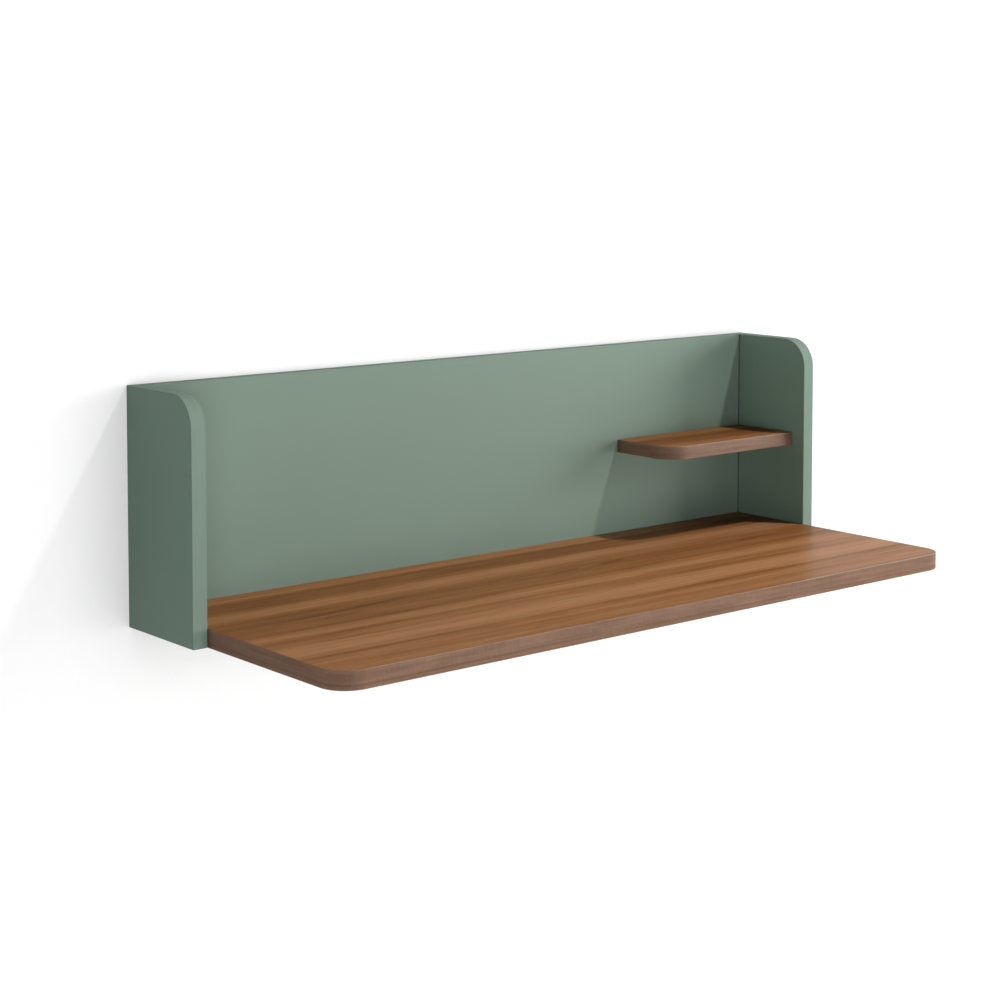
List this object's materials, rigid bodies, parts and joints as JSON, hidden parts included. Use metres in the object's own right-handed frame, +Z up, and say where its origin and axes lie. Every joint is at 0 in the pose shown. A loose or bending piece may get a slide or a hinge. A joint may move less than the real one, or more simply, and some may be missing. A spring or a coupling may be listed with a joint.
{
  "type": "floating wall desk",
  "caption": "Wall-hung desk: a walnut-look top set between sage-green side panels and back panel, with a corner shelf, hung on concealed wall plates.",
  "frame": {"origin": "on the wall plane, in the middle of the four wall screw holes", "axes": "+X along the wall to the right as seen from the room, +Y into the wall, +Z up"},
  "size_m": [1.2, 0.465, 0.333],
  "materials": {
    "sage_lacquer": "board with a matt sage-green lacquered face",
    "sage_edge": "matt sage-green edge band with faint lengthways lines",
    "walnut_board": "board with a satin walnut grain face, grain along the width",
    "walnut_edge": "satin walnut-look edge band, grain along the edge",
    "zinc": "die-cast zinc",
    "steel": "zinc-plated steel",
    "cap_plastic": "brown plastic cover cap",
    "beech": "plain beech dowel"
  },
  "bodies": {
    "wall_plates": {"left_wall_plate": "steel", "right_wall_plate": "steel"},
    "desk": {"back_panel": "sage_lacquer", "back_panel_top_band": "sage_edge", "back_panel_bottom_band": "sage_edge", "left_side_panel": "sage_lacquer", "left_side_front_band": "sage_edge", "left_side_bottom_band": "sage_edge", "right_side_panel": "sage_lacquer", "right_side_front_band": "sage_edge", "right_side_bottom_band": "sage_edge", "desktop": "walnut_board", "desktop_edge_band": "walnut_edge", "corner_shelf": "walnut_board", "corner_shelf_edge_band": "walnut_edge", "back_panel_cam_locks": "zinc", "back_panel_cam_bolts": "steel", "back_panel_dowels": "beech", "desktop_cam_locks": "zinc", "desktop_cam_bolts": "steel", "desktop_cam_caps": "cap_plastic", "desktop_end_dowels": "beech", "desktop_rear_screws": "steel", "desktop_rear_dowels": "beech", "shelf_rear_screws": "steel", "shelf_rear_dowel": "beech", "shelf_side_dowels": "beech", "left_hook_plate": "steel", "right_hook_plate": "steel", "hook_plate_screws": "steel"}
  },
  "joints": [
    {"name": "lift_off", "type": "slide", "parent": "wall_plates", "child": "desk", "axis": [0, 0, 1], "range_m": [0, 0.012]}
  ]
}
